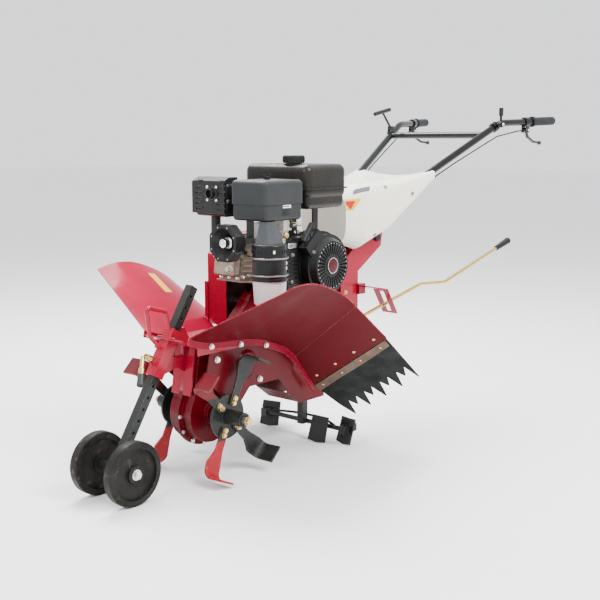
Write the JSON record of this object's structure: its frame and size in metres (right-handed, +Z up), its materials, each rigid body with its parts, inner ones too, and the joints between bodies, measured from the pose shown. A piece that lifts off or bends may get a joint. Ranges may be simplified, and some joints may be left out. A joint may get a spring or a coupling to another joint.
{
  "type": "mini cultivator",
  "caption": "Walk-behind petrol cultivator with tined rotor under wing fenders, nose wheels on a height-set leg, belt and chain drive, rear opener and tilting handlebar.",
  "frame": {"origin": "middle of the bounding box's foot, on the ground", "axes": "+X ahead, +Y to the operator's left, +Z up"},
  "size_m": [2.0402, 0.77, 1.1074],
  "materials": {
    "red": "gloss red enamel",
    "black_paint": "gloss black enamel",
    "tine_black": "black dipped steel",
    "tine_red": "red dipped steel",
    "zinc": "yellow passivated zinc on steel",
    "steel": "machined",
    "rubber": "moulded",
    "black_plastic": "fine moulded texture",
    "tank_black": "satin charcoal",
    "grey_plastic": "moulded",
    "cream_plastic": "moulded",
    "clear_bowl": "milky clear plastic",
    "cast_alloy": "as cast"
  },
  "bodies": {
    "chassis": {"nose_frame": "red", "gear_case_left": "red", "gear_case_right": "red", "side_shields": "red", "deck_plate": "red", "chain": "steel", "v_belt": "rubber", "belt_cover": "red", "fender_left": "red", "fender_right": "red", "fender_flaps": "rubber", "flap_strips": "zinc", "frame_bolts": "zinc", "engine_frame": "red", "rear_hitch": "red", "crankcase": "cast_alloy", "cylinder_head": "cast_alloy", "fan_cover": "black_plastic", "recoil_cover": "black_plastic", "fuel_tank": "tank_black", "engine_brackets": "black_paint", "air_cleaner": "black_plastic", "air_duct": "grey_plastic", "dust_canister": "black_plastic", "dust_bowl": "clear_bowl", "carburettor": "cast_alloy", "muffler": "black_paint"},
    "leg": {"wheel_leg": "black_paint", "wheel_axle": "zinc"},
    "left_wheel": {"wheel_left": "rubber"},
    "right_wheel": {"wheel_right": "rubber"},
    "clamp": {"clamp_crank": "zinc"},
    "rotor": {"tine_axle": "steel", "axle_sprocket": "steel", "blades_left": "tine_red", "blades_right": "tine_black", "blade_holders": "black_paint", "blade_bolts": "zinc"},
    "input": {"input_shaft": "steel", "driven_pulley": "steel"},
    "crank": {"crankshaft": "steel", "crank_pulley": "steel"},
    "belt_clutch": {"tensioner": "steel"},
    "starter": {"starter_grip": "black_plastic"},
    "tank_cap": {"fuel_cap": "black_plastic"},
    "filter_nut": {"wing_nut": "black_plastic"},
    "lamp": {"headlamp": "black_plastic"},
    "bars": {"handlebar": "black_paint", "handle_shroud": "cream_plastic", "grips": "rubber", "control_mounts": "black_paint", "hand_cables": "black_plastic"},
    "clutch": {"clutch_lever": "black_plastic"},
    "brake": {"brake_lever": "black_plastic"},
    "throttle": {"throttle_lever": "black_plastic"},
    "reverse": {"reverse_handle": "black_plastic"},
    "shift": {"shift_lever": "zinc", "shift_knob": "rubber"},
    "opener": {"opener_shank": "black_paint", "opener_blades": "black_paint"}
  },
  "joints": [
    {"name": "leg_height", "type": "slide", "parent": "chassis", "child": "leg", "axis": [-0.5344, 0, 0.8453], "range_m": [-0.06, 0.1]},
    {"name": "left_wheel_spin", "type": "hinge", "parent": "leg", "child": "left_wheel", "pos_m": [0.93012, 0.073, 0.09], "axis": [0, 1, 0], "continuous": true},
    {"name": "right_wheel_spin", "type": "hinge", "parent": "leg", "child": "right_wheel", "pos_m": [0.93012, -0.073, 0.09], "axis": [0, 1, 0], "continuous": true},
    {"name": "clamp_turn", "type": "hinge", "parent": "chassis", "child": "clamp", "pos_m": [0.78031, 0, 0.36441], "axis": [0.8453, 0, 0.5344], "range_deg": [-100, 100]},
    {"name": "rotor_spin", "type": "hinge", "parent": "chassis", "child": "rotor", "pos_m": [0.60012, 0, 0.18557], "axis": [0, 1, 0], "continuous": true},
    {"name": "input_spin", "type": "hinge", "parent": "chassis", "child": "input", "pos_m": [0.35212, 0, 0.475], "axis": [0, 1, 0], "continuous": true},
    {"name": "crank_spin", "type": "hinge", "parent": "chassis", "child": "crank", "pos_m": [0.22512, 0, 0.6], "axis": [0, 1, 0], "continuous": true},
    {"name": "handlebar_tilt", "type": "hinge", "parent": "chassis", "child": "bars", "pos_m": [-0.19188, 0, 0.648], "axis": [0, 1, 0], "range_deg": [-8, 8]},
    {"name": "clutch_squeeze", "type": "hinge", "parent": "bars", "child": "clutch", "pos_m": [-0.86601, 0.25759, 1.01984], "axis": [0, 1, 0], "range_deg": [0, 16], "stiffness_Nm_per_rad": 3, "springref_deg": -20.05},
    {"name": "brake_squeeze", "type": "hinge", "parent": "bars", "child": "brake", "pos_m": [-0.86601, -0.25759, 1.01984], "axis": [0, 1, 0], "range_deg": [0, 16], "stiffness_Nm_per_rad": 3, "springref_deg": -20.05},
    {"name": "belt_clutch_swing", "type": "hinge", "parent": "chassis", "child": "belt_clutch", "pos_m": [0.32212, -0.088, 0.596], "axis": [0, 1, 0], "range_deg": [0, 10]},
    {"name": "throttle_turn", "type": "hinge", "parent": "bars", "child": "throttle", "pos_m": [-0.69848, 0.24275, 1.03935], "axis": [0, 1, 0], "range_deg": [-30, 30]},
    {"name": "reverse_tilt", "type": "hinge", "parent": "bars", "child": "reverse", "pos_m": [-0.63968, -0.20625, 1.02805], "axis": [0, 1, 0], "range_deg": [-12, 12]},
    {"name": "shift_swing", "type": "hinge", "parent": "chassis", "child": "shift", "pos_m": [0.11412, 0.092, 0.352], "axis": [0, 1, 0], "range_deg": [-3.4, 3.4]},
    {"name": "starter_pull", "type": "slide", "parent": "chassis", "child": "starter", "axis": [0.7784, 0, 0.6278], "range_m": [0, 0.03], "stiffness_N_per_m": 150, "springref_m": -0.05},
    {"name": "cap_turn", "type": "hinge", "parent": "chassis", "child": "tank_cap", "pos_m": [0.25012, 0.06, 0.915], "axis": [0, 0, 1], "range_deg": [0, 120]},
    {"name": "filter_nut_turn", "type": "hinge", "parent": "chassis", "child": "filter_nut", "pos_m": [0.42112, 0.105, 0.87], "axis": [0, 0, 1], "range_deg": [-180, 180]},
    {"name": "lamp_tilt", "type": "hinge", "parent": "chassis", "child": "lamp", "pos_m": [0.52412, 0.095, 0.69], "axis": [0, 1, 0], "range_deg": [-12, 12]},
    {"name": "opener_height", "type": "slide", "parent": "chassis", "child": "opener", "axis": [0, 0, 1], "range_m": [0, 0.045]}
  ],
  "couplings": [
    {"joint": "input_spin", "follows": "rotor_spin", "ratio": 3.7778},
    {"joint": "crank_spin", "follows": "rotor_spin", "ratio": 6.4762},
    {"joint": "belt_clutch_swing", "follows": "clutch_squeeze", "ratio": 0.6}
  ]
}
